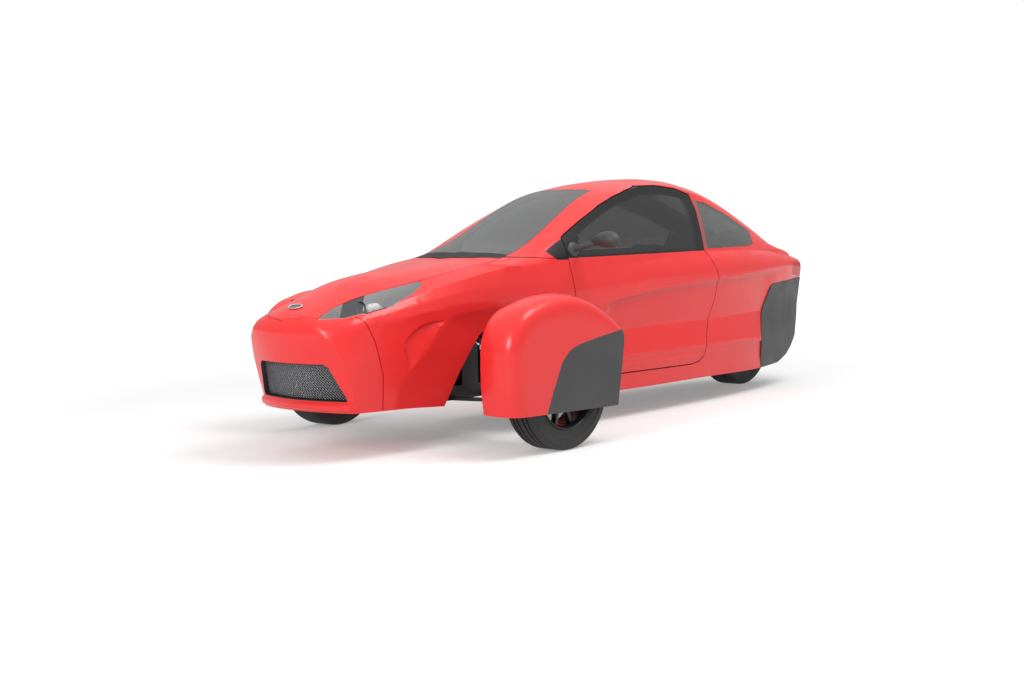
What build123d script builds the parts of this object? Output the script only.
from build123d import *
import math
import os
from collections import namedtuple

# ---------------------------------------------------------------------------
# Enclosed three-wheeled car: two steered wheels in outboard pods at the front,
# one driven wheel at the rear, two seats in line, one door on the left.
# Millimetres.  +X is forward, +Y is the car's left, +Z is up, ground at Z 0.
# ---------------------------------------------------------------------------

# driving dimensions
FRONT_AXLE_X = 1075
REAR_AXLE_X = -1719
HALF_TRACK = 825
TYRE_R = 305
RIM_R = 205
BORE_R = 20.05
STUB_R = 20.0

KINGPIN_Y = 684
KINGPIN_R = 12.0
KINGPIN_BORE_R = 12.05

WALL = 40
GLASS = 6
GAP = 6

DOOR_REACH = 285

FLOOR_Z = 168
FLOOR_T = 34
FLOOR_HALF = 330
FLOOR_FRONT = 640
FLOOR_REAR = -1370
LIFT_X = -300
LIFT_Z = 148

WELL_HALF_X = 330
WELL_HALF_Y = 135
WELL_TOP = 660
SLOT_R = 332
SLOT_HALF = 108

PLINTH_X = -2082
PLATE_Z = 510
PLATE_PITCH = 178
PLATE_HOLE_R = 3.4

POD_IN = 712
POD_OUT = 932
POD_WALL = 12

# lower body, one row a cross-section: hood edge, fender edge, shoulder, waist,
# lower crease and sill, each as distance from the middle and height
BodyRow = namedtuple(
    "BodyRow",
    "x crown hood_y hood_z edge_y edge_z wide_y wide_z waist_y waist_z low_y low_z sill_y sill_z",
)
BODY = [
    BodyRow(2150, 672, 60, 660, 80, 640, 104, 500, 106, 440, 104, 380, 92, 238),
    BodyRow(2080, 698, 130, 684, 196, 652, 240, 530, 246, 450, 240, 380, 216, 238),
    BodyRow(2040, 712, 170, 686, 246, 656, 292, 562, 298, 460, 290, 380, 268, 236),
    BodyRow(1980, 738, 192, 702, 288, 668, 330, 592, 336, 480, 330, 380, 308, 234),
    BodyRow(1880, 778, 198, 735, 318, 694, 358, 612, 362, 490, 356, 380, 340, 232),
    BodyRow(1750, 826, 200, 776, 335, 720, 372, 620, 376, 490, 372, 380, 358, 230),
    BodyRow(1440, 876, 265, 830, 372, 788, 400, 640, 402, 490, 398, 370, 385, 215),
    BodyRow(908, 924, 340, 914, 418, 880, 448, 648, 438, 490, 436, 340, 420, 185),
    BodyRow(400, 926, 380, 920, 446, 900, 478, 655, 448, 490, 462, 318, 442, 168),
    BodyRow(-300, 926, 380, 920, 446, 900, 486, 711, 446, 500, 468, 312, 446, 160),
    BodyRow(-870, 924, 360, 918, 425, 898, 470, 733, 430, 500, 452, 318, 428, 156),
    BodyRow(-1500, 905, 280, 898, 350, 880, 404, 765, 366, 510, 388, 326, 360, 146),
    BodyRow(-1950, 866, 205, 856, 262, 836, 316, 770, 290, 510, 300, 318, 272, 160),
    BodyRow(-2105, 842, 180, 832, 232, 812, 276, 756, 258, 510, 266, 318, 246, 160),
]

# glasshouse, one row a cross-section: roof middle, windscreen or roof edge,
# top of the side glass and belt, all from the middle
HouseRow = namedtuple("HouseRow", "x top rail_y rail_z cant_y cant_z belt_y")
HOUSE = [
    HouseRow(1090, 886, 120, 880, 150, 874, 180),
    HouseRow(908, 960, 330, 916, 390, 895, 424),
    HouseRow(722, 1037, 308, 963, 402, 938, 446),
    HouseRow(434, 1163, 278, 1097, 388, 1062, 456),
    HouseRow(120, 1262, 238, 1236, 364, 1188, 460),
    HouseRow(-120, 1305, 232, 1283, 350, 1262, 458),
    HouseRow(-400, 1331, 238, 1308, 342, 1292, 452),
    HouseRow(-740, 1330, 245, 1292, 336, 1252, 436),
    HouseRow(-1100, 1262, 240, 1205, 314, 1158, 408),
    HouseRow(-1480, 1128, 218, 1066, 276, 1024, 345),
    HouseRow(-1800, 988, 190, 936, 236, 908, 282),
    HouseRow(-2060, 858, 160, 838, 196, 828, 226),
]
HOUSE_BASE_Z = 700

# front face of the nose, one row a height: middle and 600 mm out to the side;
# it stands out in a lip below the grille and rolls back into the hood at the top
NoseRow = namedtuple("NoseRow", "z front side")
NOSE = [
    NoseRow(60, 1930, 1650),
    NoseRow(240, 2016, 1736),
    NoseRow(250, 2034, 1754),
    NoseRow(270, 2036, 1756),
    NoseRow(286, 2018, 1738),
    NoseRow(467, 2068, 1788),
    NoseRow(600, 2105, 1825),
    NoseRow(645, 2098, 1818),
    NoseRow(680, 2075, 1795),
    NoseRow(706, 2042, 1762),
    NoseRow(728, 1998, 1718),
    NoseRow(745, 1972, 1692),
]

# tail, seen from the side: it rises and leans forward below the lamps
TAIL_END = [
    (-1650, 130), (-1800, 165), (-1887, 194), (-1950, 240), (-1990, 292), (-2052, 450), (-2098, 680),
    (-2105, 760),
]

# outline of the shut lines, seen from the side (x, z)
BUMPER_SEAM = [(1962, 700), (1930, 700), (1885, 660), (1838, 565), (1795, 400), (1790, 200)]
DOOR_LOW = [
    (510, 905), (488, 716), (478, 560), (440, 400), (360, 300), (260, 262), (-600, 250),
    (-680, 262), (-727, 296), (-757, 414), (-848, 610), (-862, 700), (-845, 770), (-800, 850),
    (-762, 905),
]
DOOR_TOP = [
    (-762, 905), (-762, 1150), (-735, 1232), (-600, 1266), (-400, 1285), (-250, 1284),
    (-120, 1258), (0, 1225), (138, 1178), (330, 1098), (470, 1034), (510, 1012), (510, 905),
]
DOOR_WINDOW = [
    (490, 915), (490, 1000), (330, 1078), (138, 1158), (0, 1204), (-120, 1236), (-250, 1262),
    (-400, 1263), (-600, 1244), (-700, 1218), (-725, 1140), (-725, 915),
]
QUARTER_WINDOW = [
    (-810, 915), (-810, 1196), (-900, 1186), (-1166, 1108), (-1440, 1010), (-1425, 925), (-1350, 915),
]
RIGHT_WINDOW = [
    (490, 915), (490, 1000), (330, 1078), (138, 1158), (0, 1204), (-120, 1236), (-250, 1262),
    (-400, 1263), (-600, 1244), (-900, 1186), (-1166, 1108), (-1440, 1010), (-1425, 925), (-1350, 915),
]
ARCH = [(1430, 150), (1300, 376), (1222, 484), (1165, 550), (1040, 620), (860, 620), (720, 500), (660, 150)]

TAIL = [
    (-1622, 668), (-1584, 654), (-1562, 628), (-1462, 478), (-1425, 350), (-1440, 250), (-1470, 60),
    (-2300, 60), (-2300, 688), (-2090, 688),
]
TAIL_LAMP = [(-2010, 702), (-2010, 765), (-2045, 790), (-2300, 790), (-2300, 702)]

# grille opening, seen from the front (y, z), left half
GRILLE = [(222, 467), (246, 452), (302, 300), (296, 288)]
MESH_Z = 376
MESH_PITCH = 50
MESH_HOLE = 29
MESH_RIM = 9

# mirror housing, one row a section: distance out, half length and half height
MIRROR = [(560, 22, 26), (600, 42, 42), (650, 46, 45), (695, 30, 32)]

# tyre and rim, across and out from the wheel's middle
TYRE_PROFILE = [(60, TYRE_R), (83, TYRE_R - 30), (76, RIM_R + 1)]
RIM_PROFILE = [
    (-72, RIM_R), (72, RIM_R), (72, 192), (28, 184), (22, BORE_R), (-42, BORE_R), (-42, 44), (6, 178),
    (-72, 190),
]

# seat, from the side
SEAT_SIDE = [(-130, 300), (-100, 400), (-180, 425), (-520, 395), (-740, 960), (-840, 940), (-620, 300)]
SEAT_FOOT = [(-600, 202), (-160, 202)]
SEAT_HALF = 215

SUBFRAME_HALF = 250
ARM_T = 16
ARM_SPREAD = 120
PIN_LENGTH = 60
KNUCKLE_LOW = 240
KNUCKLE_TOP = 500
STUB_OUT = 842
ARM_Y = 105
DAMPER_TOP = 570

# wheel pod: its crest seen from the side, as arcs; how far each section is drawn in
# from the crest; the part of it that is kept; and the matt panel at its rear
POD_CREST = [
    [(1478, 100), (1512, 330), (1510, 480)],
    [(1510, 480), (1466, 630), (1322, 722)],
    [(1322, 722), (1100, 757), (878, 710)],
    [(878, 710), (765, 652), (600, 526)],
]
POD_CENTRE = (1085, 330)
PodRow = namedtuple("PodRow", "y drawn_in")
POD = [
    PodRow(POD_IN, 22), PodRow(765, 6), PodRow(820, 0), PodRow(875, 4), PodRow(912, 13),
    PodRow(POD_OUT, 28),
]
POD_CUT = [(1650, 206), (733, 184), (657, 575), (657, 900), (1650, 900)]
POD_PANEL = [
    (1283, 150), (1279, 193), (1230, 298), (1171, 411), (1140, 452), (1104, 483), (1018, 512), (863, 537),
    (600, 570), (600, 150),
]

# outline of the shut lines, seen from above (x, y), left half
HOOD_EDGE = [
    (2080, 0), (2062, 110), (2034, 194), (1930, 182), (1800, 196), (1620, 232), (1440, 266), (970, 332),
    (922, 318),
]
COWL = [(922, 318), (985, 200), (1020, 0)]
LAMP_SIDE = [(2120, 632), (1930, 668), (1745, 690), (1560, 732), (1430, 765), (1430, 960), (2120, 960)]
LAMP = [
    (2034, 200), (1930, 188), (1800, 202), (1620, 238), (1440, 276), (1472, 308), (1560, 336), (1700, 346),
    (1850, 328), (1950, 288),
]
SCREEN = [(1014, 0), (979, 200), (905, 322), (722, 300), (434, 270), (120, 230), (10, 214), (60, 0)]
HATCH = [
    (-955, 0), (-940, 120), (-925, 222), (-1100, 232), (-1480, 210), (-1800, 182), (-2040, 150), (-2052, 0),
]
HATCH_GLASS = [(-1010, 0), (-1005, 176), (-1100, 186), (-1480, 164), (-1740, 140), (-1760, 0)]


def body_points(row, inset):
    """Left half of one lower-body section, drawn in by the wall."""
    return {
        "crown": (0, row.crown - inset),
        "hood": (row.hood_y - inset * 0.5, row.hood_z - inset),
        "edge": (row.edge_y - inset * 0.8, row.edge_z - inset * 0.8),
        "flank": ((row.edge_y + row.wide_y) / 2 + 12 - inset, (row.edge_z + row.wide_z) / 2 + 8),
        "wide": (row.wide_y - inset, row.wide_z),
        "waist": (row.waist_y - inset, row.waist_z),
        "low": (row.low_y - inset, row.low_z),
        "sill": (row.sill_y - inset, row.sill_z + inset),
    }


def house_points(row, inset):
    """Left half of one glasshouse section, drawn in by the wall."""
    belt_z = min(880, row.cant_z - 12)
    return {
        "top": (0, row.top - inset),
        "rail": (row.rail_y - inset * 0.4, row.rail_z - inset),
        "cant": (row.cant_y - inset, row.cant_z - inset * 0.7),
        "side": ((row.cant_y + row.belt_y) / 2 + 8 - inset, (row.cant_z + belt_z) / 2 - inset * 0.7),
        "belt": (row.belt_y - inset, belt_z - inset * 0.7),
        "base": (row.belt_y - inset, HOUSE_BASE_Z),
    }


def other(point):
    """The same point on the right-hand side."""
    return (-point[0], point[1])


def rounded(start, middle, end, steps):
    """Chords of the arc through three points, so that the skin lofts exactly."""
    with BuildLine() as curve:
        ThreePointArc(start, middle, end)
    return [tuple(curve.line @ (i / steps))[:2] for i in range(steps + 1)]


def octagon():
    """Corners of a regular octagon of radius 1, flat on top."""
    turns = [math.radians(22.5 + 45 * i) for i in range(8)]
    return [(math.cos(turn), math.sin(turn)) for turn in turns]


def draw_section(left):
    """Closed outline of a section from the points of its left half, top to bottom."""
    right = [other(p) for p in reversed(left)]
    Polyline(*left, *right, close=True)


def body_section(row, inset):
    """Left half of one lower-body section."""
    p = body_points(row, inset)
    crown = rounded(other(p["hood"]), p["crown"], p["hood"], 5)[3:]
    flank = rounded(p["edge"], p["flank"], p["wide"], 3)
    return crown + flank + [p["waist"], p["low"], p["sill"]]


def house_section(row, inset):
    """Left half of one glasshouse section."""
    p = house_points(row, inset)
    crown = rounded(other(p["rail"]), p["top"], p["rail"], 5)[3:]
    side = rounded(p["cant"], p["side"], p["belt"], 3)
    return crown + side + [p["base"]]


def section_plane(x):
    """Plane across the car at x, with its own x to the left and y up."""
    return Plane(origin=(x, 0, 0), x_dir=(0, 1, 0), z_dir=(1, 0, 0))


def lower_body(inset):
    """Lower body, nose to tail, drawn in by the wall all round."""
    with BuildPart() as solid:
        for row in BODY:
            x = row.x + inset if row is BODY[-1] else row.x
            with BuildSketch(section_plane(x)):
                with BuildLine():
                    draw_section(body_section(row, inset))
                make_face()
        loft()
    return solid.part


def glasshouse(inset):
    """Windscreen, roof and fastback, drawn in by the wall all round."""
    with BuildPart() as solid:
        rows = HOUSE[1:] if inset > 20 else HOUSE
        for row in rows:
            with BuildSketch(section_plane(row.x)):
                with BuildLine():
                    draw_section(house_section(row, inset))
                make_face()
        loft()
    return solid.part


def nose_outline(row, inset):
    """Plan of everything behind the front face at one height."""
    with BuildLine() as outline:
        ThreePointArc((row.side - inset, -600), (row.front - inset, 0), (row.side - inset, 600))
        Polyline((row.side - inset, 600), (-2300, 600), (-2300, -600), (row.side - inset, -600))
    return outline.line


def nose_block(inset):
    """Everything behind the curved front face."""
    with BuildPart() as solid:
        for row in NOSE:
            with BuildSketch(Plane.XY.offset(row.z)):
                add(nose_outline(row, inset))
                make_face()
        loft(ruled=True)
        with BuildSketch(Plane.XY.offset(NOSE[-1].z)):
            add(nose_outline(NOSE[-1], inset))
            make_face()
        extrude(amount=900)
    return solid.part


def ends_block(inset):
    """Everything between the front face and the leaning tail."""
    side = [(2300, 60), (-1650, 60), *TAIL_END, (-2105, 1700), (2300, 1700)]
    return nose_block(inset) & side_prism(side, -700, 700, -inset)


def whole_body(inset):
    """Lower body and glasshouse in one, closed by the nose and the tail."""
    return (lower_body(inset) + glasshouse(inset)) & ends_block(inset)


def side_prism(points, y_low, y_high, grow=0.0):
    """A side-view outline carried across the car between two distances."""
    with BuildPart() as prism:
        with BuildSketch(Plane.XZ.offset(-y_high)):
            with BuildLine():
                Polyline(*points, close=True)
            make_face()
            if grow:
                offset(amount=grow, kind=Kind.INTERSECTION)
        extrude(amount=y_high - y_low)
    return prism.part


def plan_prism(points, z_low, z_high, grow=0.0, both=False):
    """A plan outline carried up; both also draws its right-hand half."""
    with BuildPart() as prism:
        with BuildSketch(Plane.XY.offset(z_low)):
            with BuildLine():
                if both:
                    right = [(x, -y) for x, y in reversed(points) if y > 0]
                    Polyline(*points, *right, close=True)
                else:
                    Polyline(*points, close=True)
            make_face()
            if grow:
                offset(amount=grow, kind=Kind.INTERSECTION)
        extrude(amount=z_high - z_low)
    return prism.part


def mirrored(shape):
    """The right-hand twin of a left-hand shape."""
    return shape.mirror(Plane.XZ)


def keep(shape, label):
    """Name a finished piece and write its file."""
    shape.label = label
    export_step(shape, f"parts/{label}.step")


os.makedirs("parts", exist_ok=True)

outer = whole_body(0)
shell = outer - whole_body(WALL)
skin = outer - whole_body(GLASS)

def lamp_tool(grow):
    """Space of the left headlamp in the fender."""
    return plan_prism(LAMP, 560, 960, grow) & side_prism(LAMP_SIDE, 0, 500, grow)


def grille_outline(shrink):
    """Outline of the grille opening, laid flat."""
    with BuildSketch() as outline:
        with BuildLine():
            Polyline(*GRILLE, *[other(p) for p in reversed(GRILLE)], close=True)
        make_face()
        if shrink:
            offset(amount=-shrink)
    return outline.sketch


def grille_tool():
    """Space of the grille opening, carried forward through the nose."""
    with BuildPart() as tool:
        with BuildSketch(section_plane(1850)):
            add(grille_outline(0))
        extrude(amount=400)
    return tool.part


def block(x_low, x_high, y_half, z_low, z_high):
    """Plain box about the car's middle."""
    with BuildPart() as solid:
        with Locations(((x_low + x_high) / 2, 0, (z_low + z_high) / 2)):
            Box(x_high - x_low, 2 * y_half, z_high - z_low)
    return solid.part


# ---------------------------------------------------------------------------
# body panels
# ---------------------------------------------------------------------------
door_outline = DOOR_LOW + DOOR_TOP[1:-1]
hood_outline = HOOD_EDGE + COWL[1:]
bumper_side = BUMPER_SEAM + [(1790, 60), (2300, 60), (2300, 960), (1962, 960)]
front_side = [(x - GAP, z) for x, z in reversed(BUMPER_SEAM)]
front_side += [(1962 - GAP, 960), (915, 960), (905, 925), (640, 908), (516, 906)]
front_side += [(494, 716), (484, 560), (446, 400), (384, 315), (366, 60), (1784, 60)]
cabin_side = [(512, 909), (640, 911), (908, 929), (918, 960), (918, 1500), (-2300, 1500)]
cabin_side += [(-2300, 60), (363, 60), (381, 312), (440, 400), (478, 560), (488, 716)]

screen_tool = plan_prism(SCREEN, 850, 1500, both=True)
hood_tool = plan_prism(hood_outline, 638, 1100, both=True)
hood_space = plan_prism(hood_outline, 632, 1100, GAP, both=True)
lamp_space = lamp_tool(3)
lamp_spaces = [lamp_space, mirrored(lamp_space)]
tail_tool = side_prism(TAIL, -700, 700)
floor_space = block(FLOOR_REAR, FLOOR_FRONT, FLOOR_HALF, 0, 260)
well_space = block(REAR_AXLE_X - WELL_HALF_X, REAR_AXLE_X + WELL_HALF_X, WELL_HALF_Y, 0, 260)
with BuildPart() as wheel_slot:
    with BuildSketch(Plane.XZ):
        with Locations((REAR_AXLE_X, TYRE_R)):
            Circle(SLOT_R)
    extrude(amount=SLOT_HALF, both=True)

with BuildPart() as nose_bumper:
    add(shell)
    add(side_prism(bumper_side, -700, 700), mode=Mode.INTERSECT)
    add([hood_space, *lamp_spaces, grille_tool()], mode=Mode.SUBTRACT)
keep(nose_bumper.part, "nose_bumper")

with BuildSketch() as mesh_holes:
    with Locations((0, MESH_Z)):
        with GridLocations(MESH_PITCH, MESH_PITCH, 12, 4):
            Rectangle(MESH_HOLE, MESH_HOLE, rotation=45)
        with GridLocations(MESH_PITCH, MESH_PITCH, 11, 3):
            Rectangle(MESH_HOLE, MESH_HOLE, rotation=45)
    add(grille_outline(MESH_RIM), mode=Mode.INTERSECT)

with BuildPart() as grille:
    with BuildSketch(section_plane(1850)):
        add(grille_outline(1))
        add(mesh_holes.sketch, mode=Mode.SUBTRACT)
    extrude(amount=400)
    add(nose_block(24) - nose_block(32), mode=Mode.INTERSECT)
keep(grille.part, "grille")

with BuildPart() as hood:
    add(shell)
    add(hood_tool, mode=Mode.INTERSECT)
keep(hood.part, "hood")

with BuildPart() as front_body:
    add(shell)
    add(side_prism(front_side, -700, 700), mode=Mode.INTERSECT)
    add(
        [hood_space, screen_tool, *lamp_spaces, side_prism(ARCH, -700, 700), floor_space],
        mode=Mode.SUBTRACT,
    )
keep(front_body.part, "front_body")

with BuildPart() as cabin_shell:
    add(shell)
    add(side_prism(cabin_side, -700, 700), mode=Mode.INTERSECT)
    add(
        [
            side_prism(door_outline, DOOR_REACH, 700, GAP),
            side_prism(QUARTER_WINDOW, 200, 700),
            side_prism(RIGHT_WINDOW, -700, -200),
            side_prism(TAIL_LAMP, 100, 700, 2),
            side_prism(TAIL_LAMP, -700, -100, 2),
            side_prism(TAIL, -700, 700, 2),
            plan_prism(HATCH, 700, 1500, GAP, both=True),
            screen_tool,
            floor_space,
            well_space,
        ],
        mode=Mode.SUBTRACT,
    )
keep(cabin_shell.part, "cabin_shell")

with BuildPart() as door:
    add(shell)
    add(side_prism(door_outline, DOOR_REACH, 700), mode=Mode.INTERSECT)
    add(side_prism(DOOR_WINDOW, DOOR_REACH - 10, 700), mode=Mode.SUBTRACT)
keep(door.part, "door")

with BuildPart() as hatch:
    add(shell)
    add(plan_prism(HATCH, 700, 1500, both=True), mode=Mode.INTERSECT)
    add(plan_prism(HATCH_GLASS, 700, 1500, both=True), mode=Mode.SUBTRACT)
keep(hatch.part, "hatch")

with BuildPart() as tail_panel:
    add(shell)
    add(tail_tool, mode=Mode.INTERSECT)
    add([well_space, wheel_slot.part], mode=Mode.SUBTRACT)
    add(block(PLINTH_X, PLINTH_X + 50, 130, PLATE_Z - 45, PLATE_Z + 45))
    with BuildSketch(section_plane(PLINTH_X - 1)):
        with Locations((-PLATE_PITCH / 2, PLATE_Z), (PLATE_PITCH / 2, PLATE_Z)):
            Circle(PLATE_HOLE_R)
    extrude(amount=52, mode=Mode.SUBTRACT)
keep(tail_panel.part, "tail_panel")

# ---------------------------------------------------------------------------
# glass and lamps
# ---------------------------------------------------------------------------
with BuildPart() as windshield:
    add(skin)
    add(plan_prism(SCREEN, 880, 1500, -2, both=True), mode=Mode.INTERSECT)
keep(windshield.part, "windshield")

with BuildPart() as hatch_glass:
    add(skin)
    add(plan_prism(HATCH_GLASS, 800, 1500, -1, both=True), mode=Mode.INTERSECT)
keep(hatch_glass.part, "hatch_glass")

with BuildPart() as door_glass:
    add(skin)
    add(side_prism(DOOR_WINDOW, 250, 700, -1), mode=Mode.INTERSECT)
keep(door_glass.part, "door_glass")

with BuildPart() as quarter_glass_left:
    add(skin)
    add(side_prism(QUARTER_WINDOW, 200, 700, -1), mode=Mode.INTERSECT)
keep(quarter_glass_left.part, "quarter_glass_left")

with BuildPart() as side_glass_right:
    add(skin)
    add(side_prism(RIGHT_WINDOW, -700, -200, -1), mode=Mode.INTERSECT)
keep(side_glass_right.part, "side_glass_right")

with BuildPart() as headlamp_left:
    add(shell)
    add(lamp_tool(0), mode=Mode.INTERSECT)
keep(headlamp_left.part, "headlamp_left")
keep(mirrored(headlamp_left.part), "headlamp_right")

with BuildPart() as tail_lamp_left:
    add(shell)
    add(side_prism(TAIL_LAMP, 103, 700), mode=Mode.INTERSECT)
keep(tail_lamp_left.part, "tail_lamp_left")
keep(mirrored(tail_lamp_left.part), "tail_lamp_right")

with BuildPart() as mirror_left:
    for y, along, tall in MIRROR:
        with BuildSketch(Plane(origin=(430, y, 1010), x_dir=(1, 0, 0), z_dir=(0, -1, 0))):
            with BuildLine():
                Polyline(*[(along * a, tall * b) for a, b in octagon()], close=True)
            make_face()
    loft(ruled=True)
    for origin, half_width in (((462, 452, 888), 26), ((440, 580, 1000), 20)):
        with BuildSketch(Plane(origin=origin, x_dir=(1, 0, 0), z_dir=(0, 0.9, 0.35))):
            Rectangle(2 * half_width, 20)
    loft(ruled=True)
    add(outer, mode=Mode.SUBTRACT)
keep(mirror_left.part, "mirror_left")
# ---------------------------------------------------------------------------
# cabin
# ---------------------------------------------------------------------------
with BuildPart() as floor_tub:
    with Locations(((FLOOR_FRONT + FLOOR_REAR) / 2, 0, FLOOR_Z + FLOOR_T / 2)):
        Box(FLOOR_FRONT - FLOOR_REAR, 2 * FLOOR_HALF, FLOOR_T)
    with Locations((FLOOR_FRONT - 10, 0, 520)):
        Box(20, 2 * FLOOR_HALF, 640)
    with Locations((FLOOR_REAR + 10, 0, 430)):
        Box(20, 2 * 320, 460)
    with Locations(((FLOOR_REAR - 2040) / 2, 0, WELL_TOP)):
        Box(FLOOR_REAR + 2040, 2 * 200, 14)
    with Locations((LIFT_X, 0, (LIFT_Z + FLOOR_Z) / 2)):
        Box(240, 200, FLOOR_Z - LIFT_Z)
keep(floor_tub.part, "floor_tub")

with BuildPart() as dashboard:
    with BuildSketch(Plane.XZ.offset(-330)):
        with BuildLine():
            Polyline((618, 700), (618, 840), (560, 868), (440, 850), (400, 800), (430, 740), close=True)
        make_face()
    extrude(amount=660)
    with BuildSketch(Plane(origin=(430, 0, 790), x_dir=(0, 1, 0), z_dir=(-0.9, 0, 0.4))):
        Circle(30)
    extrude(amount=70)
    with BuildSketch(Plane(origin=(430, 0, 790), x_dir=(0, 1, 0), z_dir=(-0.9, 0, 0.4))):
        Circle(12.05)
    extrude(amount=70, mode=Mode.SUBTRACT)
keep(dashboard.part, "dashboard")

column = Plane(origin=(430, 0, 790), x_dir=(0, 1, 0), z_dir=(-0.9, 0, 0.4))
with BuildPart() as steering_wheel:
    with BuildSketch(column.offset(10)):
        Circle(12)
    extrude(amount=110)
    with BuildSketch(column.offset(112)):
        Circle(52)
    extrude(amount=26)
    with BuildSketch(Plane(origin=column.offset(124).origin, x_dir=column.x_dir, z_dir=column.y_dir)):
        with Locations((170, 0)):
            RegularPolygon(15, 6)
    revolve(axis=Axis(column.origin, column.z_dir))
    with BuildSketch(column.offset(117)):
        with PolarLocations(0, 3, start_angle=90):
            with Locations((105, 0)):
                Rectangle(126, 30)
    extrude(amount=12)
keep(steering_wheel.part, "steering_wheel")

for label, shift, lift in (("front_seat", 0, 0), ("rear_seat", -590, 40)):
    with BuildPart() as seat:
        with BuildSketch(Plane.XZ.offset(-SEAT_HALF)):
            with BuildLine():
                upper = [(x + shift, z + lift) for x, z in SEAT_SIDE]
                Polyline(*upper, *[(x + shift, z) for x, z in SEAT_FOOT], close=True)
            make_face()
        extrude(amount=2 * SEAT_HALF)
    keep(seat.part, label)

# ---------------------------------------------------------------------------
# engine and suspension
# ---------------------------------------------------------------------------
with BuildPart() as engine:
    with Locations((1500, 0, 430)):
        Box(380, 420, 300)
keep(engine.part, "engine")

with BuildPart() as front_subframe:
    add(block(910, 1240, SUBFRAME_HALF, 215, 285))
    add(block(1015, 1135, SUBFRAME_HALF, 285, 570))
    add(block(925, 1225, SUBFRAME_HALF, 490, 550))
    add(block(1035, 1115, 345, DAMPER_TOP, DAMPER_TOP + 16))
    add(block(FLOOR_FRONT, 910, 110, 220, 280))
    add(block(1240, 1690, 150, 270, 280))
keep(front_subframe.part, "front_subframe")

for label, z, in (("lower_arm", 222), ("upper_arm", 520)):
    with BuildPart() as arm:
        with BuildSketch(Plane.XY.offset(z - ARM_T / 2)):
            for root_x in (FRONT_AXLE_X - ARM_SPREAD, FRONT_AXLE_X + ARM_SPREAD):
                with BuildLine():
                    Polyline(
                        (root_x - 16, SUBFRAME_HALF), (root_x + 16, SUBFRAME_HALF),
                        (FRONT_AXLE_X + 20, KINGPIN_Y), (FRONT_AXLE_X - 20, KINGPIN_Y), close=True,
                    )
                make_face()
            with Locations((FRONT_AXLE_X, KINGPIN_Y)):
                Circle(20)
        extrude(amount=ARM_T)
        pin_side = 1 if label == "lower_arm" else -1
        with BuildSketch(Plane.XY.offset(z)):
            with Locations((FRONT_AXLE_X, KINGPIN_Y)):
                Circle(KINGPIN_R)
        extrude(amount=pin_side * PIN_LENGTH)
    keep(arm.part, f"{label}_left")
    twin = mirrored(arm.part)
    keep(twin, f"{label}_right")

with BuildPart() as damper_left:
    with Locations((FRONT_AXLE_X, 588, 248)):
        Box(70, 40, 36)
    low = Vector(FRONT_AXLE_X, 588, 246)
    high = Vector(FRONT_AXLE_X, 290, 590)
    along = (high - low).normalized()
    with BuildSketch(Plane(origin=low, z_dir=along)):
        Circle(16)
    extrude(amount=(high - low).length)
    with BuildSketch(Plane(origin=low + along * 90, z_dir=along)):
        Circle(38)
    extrude(amount=230)
    split(bisect_by=Plane.XY.offset(DAMPER_TOP), keep=Keep.BOTTOM)
keep(damper_left.part, "damper_left")
damper_right = mirrored(damper_left.part)
keep(damper_right, "damper_right")

with BuildPart() as knuckle_left:
    with Locations((FRONT_AXLE_X, KINGPIN_Y, 370)):
        Box(56, 36, KNUCKLE_TOP - KNUCKLE_LOW)
    with Locations((FRONT_AXLE_X, KINGPIN_Y, 370)):
        Cylinder(KINGPIN_BORE_R, 400, mode=Mode.SUBTRACT)
    with BuildSketch(Plane.XZ.offset(-(KINGPIN_Y + 12))):
        with Locations((FRONT_AXLE_X, TYRE_R)):
            Circle(STUB_R)
    extrude(amount=-(STUB_OUT - KINGPIN_Y - 12))
    with BuildSketch(Plane.XZ.offset(-(KINGPIN_Y + 12))):
        with Locations((FRONT_AXLE_X, TYRE_R)):
            Circle(42)
    extrude(amount=-40)
    with Locations((FRONT_AXLE_X, POD_IN - 5, 440)):
        Box(56, 10, 80)
keep(knuckle_left.part, "knuckle_left")
knuckle_right = mirrored(knuckle_left.part)
keep(knuckle_right, "knuckle_right")


def drawn_in(point, amount):
    """A point of the pod's crest moved towards the middle of the pod."""
    away = Vector(*point) - Vector(*POD_CENTRE)
    moved = Vector(*POD_CENTRE) + away * (1 - amount / away.length)
    return (moved.X, moved.Y)


pod_crest = [point for arc in POD_CREST for point in rounded(*arc, 6)[:-1]] + [POD_CREST[-1][-1]]


def pod_body(inset):
    """Crowned pod, drawn in by the wall all round."""
    with BuildPart() as pod:
        for row in POD:
            y = min(max(row.y, POD_IN + inset), POD_OUT - inset)
            crest = [drawn_in(point, row.drawn_in + inset) for point in pod_crest]
            with BuildSketch(Plane.XZ.offset(-y)):
                with BuildLine():
                    Polyline(*crest, (crest[-1][0], 60), (crest[0][0], 60), close=True)
                make_face()
        loft()
        add(side_prism(POD_CUT, 600, 1000, -inset if inset else 0), mode=Mode.INTERSECT)
    return pod.part


with BuildPart() as pod_shell:
    add(pod_body(0))
    add(pod_body(POD_WALL), mode=Mode.SUBTRACT)
    with Locations((FRONT_AXLE_X, (POD_IN + POD_OUT) / 2, 190)):
        Box(2 * (TYRE_R + 12), POD_OUT - POD_IN - 2 * POD_WALL, 60, mode=Mode.SUBTRACT)
    with BuildSketch(Plane.XZ.offset(-(POD_IN - 5))):
        with Locations((FRONT_AXLE_X, TYRE_R)):
            Circle(70)
        with Locations((FRONT_AXLE_X, TYRE_R - 80)):
            Rectangle(140, 160)
    extrude(amount=-30, mode=Mode.SUBTRACT)

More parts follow.
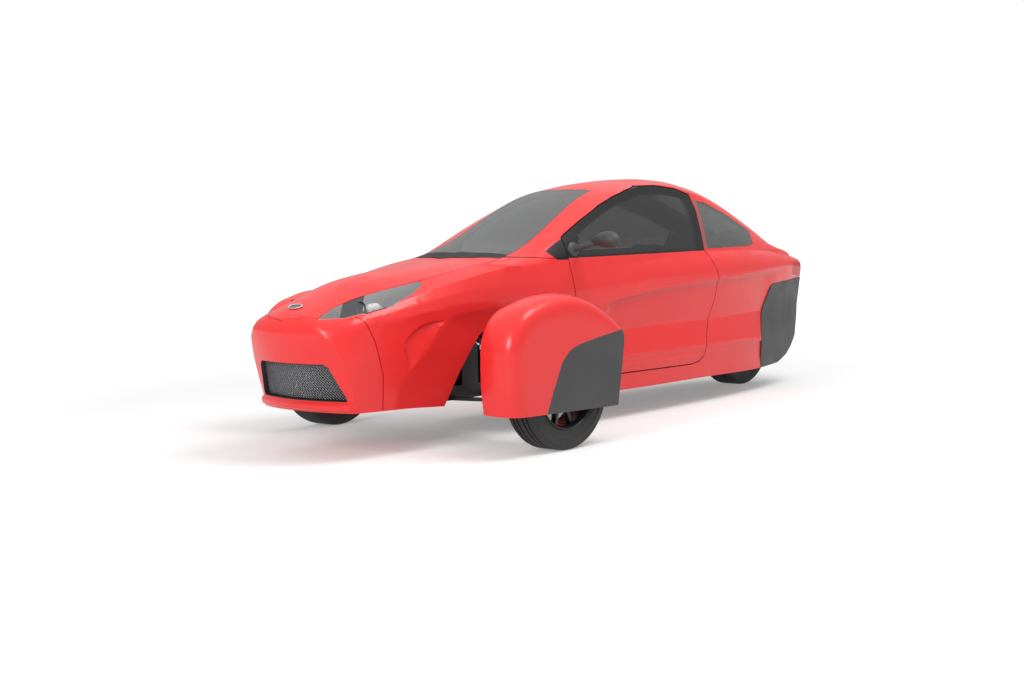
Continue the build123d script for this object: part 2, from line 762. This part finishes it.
panel_tool = side_prism(POD_PANEL, POD_OUT - 60, POD_OUT + 20)
with BuildPart() as pod_left:
    add(pod_shell.part)
    add(panel_tool, mode=Mode.SUBTRACT)
keep(pod_left.part, "pod_left")
keep(mirrored(pod_left.part), "pod_right")

with BuildPart() as pod_panel_left:
    add(pod_shell.part)
    add(panel_tool, mode=Mode.INTERSECT)
keep(pod_panel_left.part, "pod_panel_left")
keep(mirrored(pod_panel_left.part), "pod_panel_right")

with BuildPart() as swing_arm:
    for y in (-ARM_Y, ARM_Y):
        with Locations(((REAR_AXLE_X - 40 - 1378) / 2, y, TYRE_R)):
            Box(-1378 - REAR_AXLE_X + 40, 18, 44)
    with Locations((-1385, 0, TYRE_R)):
        Box(30, 2 * ARM_Y + 18, 44)
    with BuildSketch(Plane.XZ.offset(ARM_Y)):
        with Locations((REAR_AXLE_X, TYRE_R)):
            Circle(STUB_R)
    extrude(amount=-2 * ARM_Y)
keep(swing_arm.part, "swing_arm")

with BuildPart() as rear_damper:
    with BuildSketch(Plane.XY.offset(TYRE_R + 22)):
        with Locations((-1560, ARM_Y + 4)):
            Circle(14)
    extrude(amount=WELL_TOP - 7 - TYRE_R - 22)
keep(rear_damper.part, "rear_damper")

# ---------------------------------------------------------------------------
# wheels
# ---------------------------------------------------------------------------
WHEELS = (
    ("front_left", FRONT_AXLE_X, HALF_TRACK, 1),
    ("front_right", FRONT_AXLE_X, -HALF_TRACK, -1),
    ("rear", REAR_AXLE_X, 0, 1),
)
for place, x, y, facing in WHEELS:
    centre = Plane(origin=(x, y, TYRE_R), x_dir=(1, 0, 0), z_dir=(0, facing, 0))
    axis = Axis(centre.origin, centre.z_dir)
    across = Plane(origin=centre.origin, x_dir=(0, facing, 0), z_dir=(1, 0, 0))
    with BuildPart() as tyre:
        with BuildSketch(across):
            with BuildLine():
                Polyline(*TYRE_PROFILE, *[other(p) for p in reversed(TYRE_PROFILE)], close=True)
            make_face()
        revolve(axis=axis)
    keep(tyre.part, f"tyre_{place}")
    with BuildPart() as rim:
        with BuildSketch(across):
            with BuildLine():
                Polyline(*RIM_PROFILE, close=True)
            make_face()
        revolve(axis=axis)
    keep(rim.part, f"rim_{place}")
